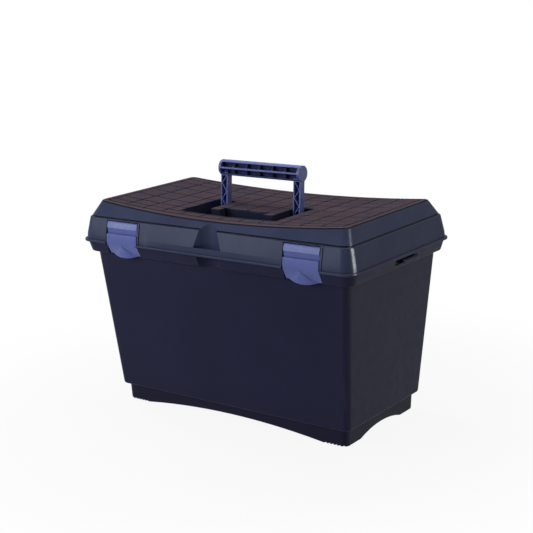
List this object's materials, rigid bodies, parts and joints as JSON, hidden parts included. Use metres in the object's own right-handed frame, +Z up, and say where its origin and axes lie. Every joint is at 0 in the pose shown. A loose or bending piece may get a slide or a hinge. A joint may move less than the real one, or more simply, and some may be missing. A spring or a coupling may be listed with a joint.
{
  "type": "horse grooming box",
  "caption": "Drafted plastic grooming box with a hinged, tiled sit-on lid, fold-down bail handle, hook latches and a lift-out tray.",
  "frame": {"origin": "on the floor under the middle of the box", "axes": "+X along the length of the lid, the front with the latches faces -Y, +Z up"},
  "size_m": [0.5, 0.284, 0.3835],
  "materials": {
    "tub_plastic": "fine-grained satin polypropylene, blue-black",
    "lid_plastic": "satin polypropylene, grey-black",
    "tray_plastic": "satin polypropylene, dark grey",
    "violet_plastic": "semi-gloss polypropylene, violet-blue",
    "pin_steel": "plain drawn wire"
  },
  "bodies": {
    "tub": {"tub": "tub_plastic", "hinge_pin_left": "pin_steel", "hinge_pin_right": "pin_steel"},
    "lid": {"lid": "lid_plastic", "handle_pin_left": "pin_steel", "handle_pin_right": "pin_steel", "latch_pin_left": "pin_steel", "latch_pin_right": "pin_steel"},
    "handle": {"handle": "violet_plastic"},
    "latch_left": {"latch_left": "violet_plastic"},
    "latch_right": {"latch_right": "violet_plastic"},
    "tray": {"tray": "tray_plastic"}
  },
  "joints": [
    {"name": "lid_hinge", "type": "hinge", "parent": "tub", "child": "lid", "pos_m": [0, 0.1375, 0.2655], "axis": [-1, 0, 0], "range_deg": [0, 95]},
    {"name": "handle_fold", "type": "hinge", "parent": "lid", "child": "handle", "pos_m": [0, -0.0015, 0.301], "axis": [1, 0, 0], "range_deg": [0, 94.5]},
    {"name": "latch_left_swing", "type": "hinge", "parent": "lid", "child": "latch_left", "pos_m": [-0.165, -0.1315, 0.2973], "axis": [-1, 0, 0], "range_deg": [0, 85]},
    {"name": "latch_right_swing", "type": "hinge", "parent": "lid", "child": "latch_right", "pos_m": [0.165, -0.1315, 0.2973], "axis": [-1, 0, 0], "range_deg": [0, 85]},
    {"name": "tray_lift", "type": "slide", "parent": "tub", "child": "tray", "axis": [0, 0, 1], "range_m": [0, 0.02]}
  ]
}
